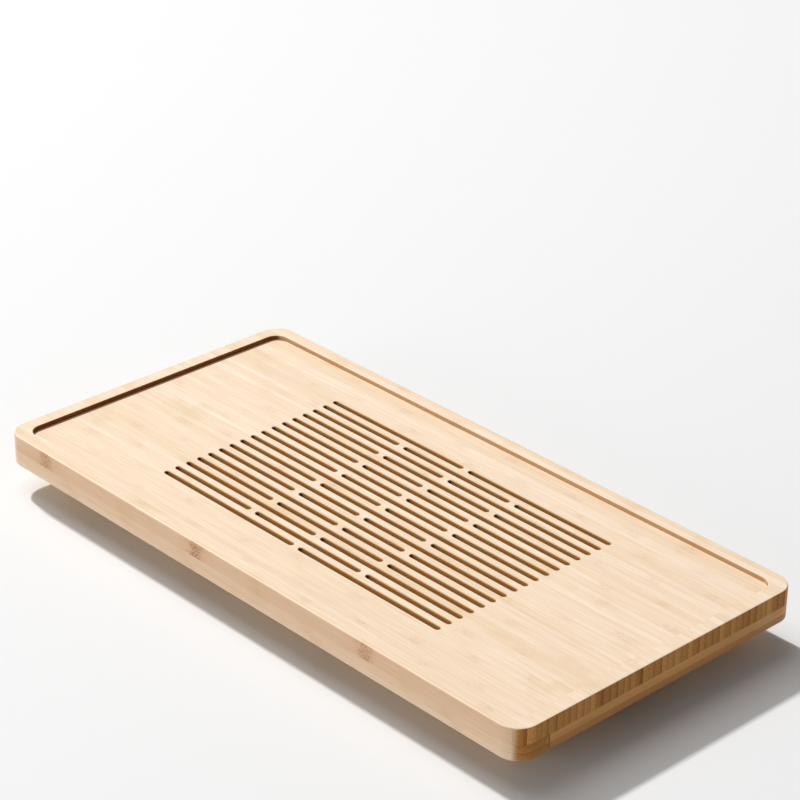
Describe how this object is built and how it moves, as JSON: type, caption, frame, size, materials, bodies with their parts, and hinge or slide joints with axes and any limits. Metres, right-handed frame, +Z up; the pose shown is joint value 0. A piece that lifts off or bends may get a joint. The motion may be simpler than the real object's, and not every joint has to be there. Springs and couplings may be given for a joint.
{
  "type": "tea tray",
  "caption": "Long bamboo tea tray with a sunken, slotted deck inside a raised rim, on a set-back base whose shallow drip drawer slides out of the right-hand end.",
  "frame": {"origin": "middle of the tray's footprint, on the plane that the foot pads rest on", "axes": "+X along the tray's length towards the end where the drip drawer pulls out, +Y to the back, +Z up"},
  "size_m": [0.48, 0.24, 0.042],
  "materials": {
    "bamboo_board": "satin oiled bamboo, vertical laminated",
    "bamboo_rail": "satin oiled bamboo, laid in flat laminations",
    "bamboo_base": "sanded bamboo",
    "drip_plastic": "fine-grained moulded plastic",
    "steel": "zinc plated",
    "rubber": "matte"
  },
  "bodies": {
    "tray": {"top_board": "bamboo_board", "front_rail": "bamboo_rail", "right_rail": "bamboo_rail", "back_rail": "bamboo_rail", "left_rail": "bamboo_rail", "base_front_wall": "bamboo_base", "base_back_wall": "bamboo_base", "base_end_wall": "bamboo_base", "base_header": "bamboo_base", "front_runner": "bamboo_base", "back_runner": "bamboo_base", "runner_screws": "steel", "foot_pad_front_left": "rubber", "foot_pad_front_right": "rubber", "foot_pad_back_left": "rubber", "foot_pad_back_right": "rubber"},
    "drawer": {"drip_drawer": "drip_plastic", "drawer_front": "bamboo_rail", "drawer_screws": "steel"}
  },
  "joints": [
    {"name": "drawer_slide", "type": "slide", "parent": "tray", "child": "drawer", "axis": [1, 0, 0], "range_m": [0, 0.34]}
  ]
}
